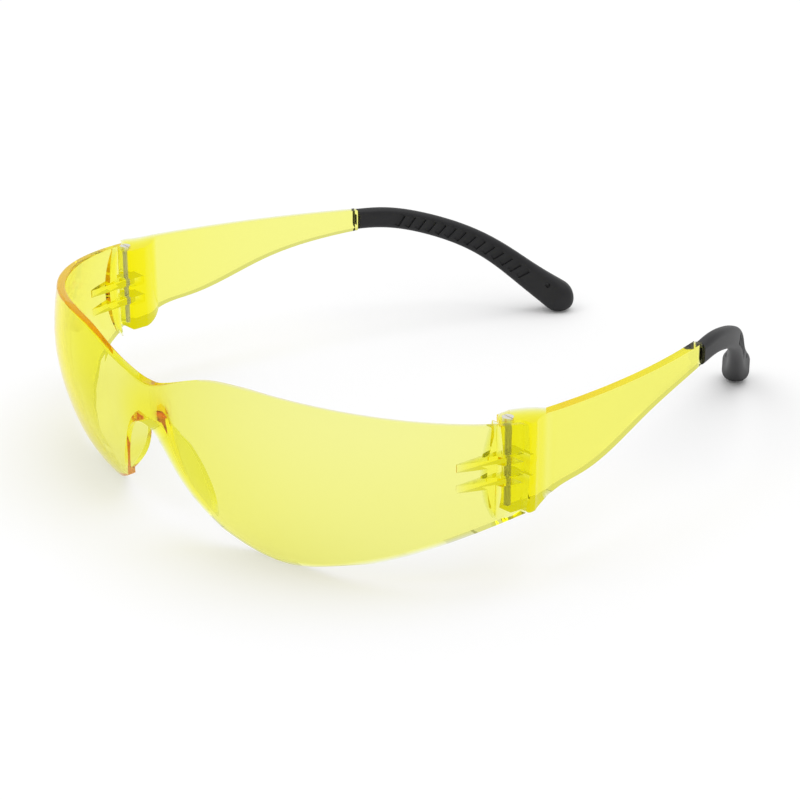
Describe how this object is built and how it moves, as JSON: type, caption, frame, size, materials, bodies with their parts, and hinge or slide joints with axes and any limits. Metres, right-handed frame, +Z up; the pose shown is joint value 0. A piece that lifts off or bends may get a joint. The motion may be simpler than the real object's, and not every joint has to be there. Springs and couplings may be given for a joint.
{
  "type": "safety glasses",
  "caption": "Frameless wraparound safety glasses: a tinted one-piece shield with a moulded nose saddle and folding temples with soft grooved tips.",
  "frame": {"origin": "middle of the overall width and depth of the open glasses, on the flat surface they stand on", "axes": "+X to the wearer's left, +Y from the shield back along the temples, +Z up"},
  "size_m": [0.144, 0.1634, 0.0427],
  "materials": {
    "shield": "clear yellow polished polycarbonate",
    "temple": "clear yellow polished polycarbonate",
    "tip": "matte soft elastomer",
    "screw": "nickel-plated steel"
  },
  "bodies": {
    "front": {"lens": "shield"},
    "arm_left": {"temple_left": "temple", "tip_left": "tip", "hinge_screw_left": "screw"},
    "arm_right": {"temple_right": "temple", "tip_right": "tip", "hinge_screw_right": "screw"}
  },
  "joints": [
    {"name": "hinge_left", "type": "hinge", "parent": "front", "child": "arm_left", "pos_m": [0.067, -0.03668, 0.026], "axis": [0, 0, 1], "range_deg": [0, 78]},
    {"name": "hinge_right", "type": "hinge", "parent": "front", "child": "arm_right", "pos_m": [-0.067, -0.03668, 0.026], "axis": [0, 0, -1], "range_deg": [0, 66]}
  ]
}
